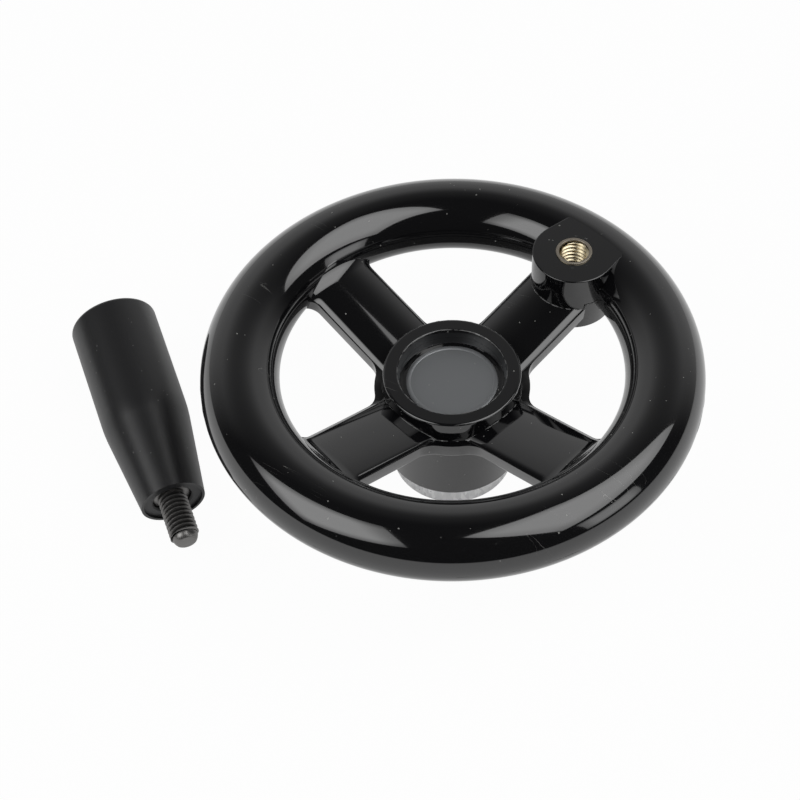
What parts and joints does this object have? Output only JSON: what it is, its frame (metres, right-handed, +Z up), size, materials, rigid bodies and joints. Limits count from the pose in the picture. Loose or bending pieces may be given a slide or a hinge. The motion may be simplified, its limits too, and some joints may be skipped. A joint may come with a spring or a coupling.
{
  "type": "machine handwheel",
  "caption": "Moulded spoked handwheel on a solid steel hub slug, with a threaded insert in its rim boss and its revolving handle lying loose beside it.",
  "frame": {"origin": "centre of the hub slug's lower face, on the wheel's axis, which is the surface the part lies on", "axes": "+Z up along the wheel's axis, towards the collared face; the handle lies on the -X side with its stud towards -Y; the boss is between +X and +Y"},
  "size_m": [0.1308, 0.1, 0.0364],
  "materials": {
    "gloss_black": "moulded thermoset, high gloss, slightly dusty",
    "zinc_steel": "turned, zinc plated",
    "brass": "turned, slightly dull",
    "satin_black": "moulded thermoset, satin",
    "bush_black": "plain moulded",
    "dark_steel": "blackened steel with a rolled thread"
  },
  "bodies": {
    "handwheel": {"wheel": "gloss_black", "hub_slug": "zinc_steel", "thread_insert": "brass", "spindle": "dark_steel"},
    "handle": {"grip": "satin_black", "retaining_bush": "bush_black"}
  },
  "joints": [
    {"name": "grip_spin", "type": "hinge", "parent": "handwheel", "child": "handle", "pos_m": [-0.05669, -0.0163, 0.00661], "axis": [0.3395, -0.9329, -0.1201], "continuous": true}
  ]
}
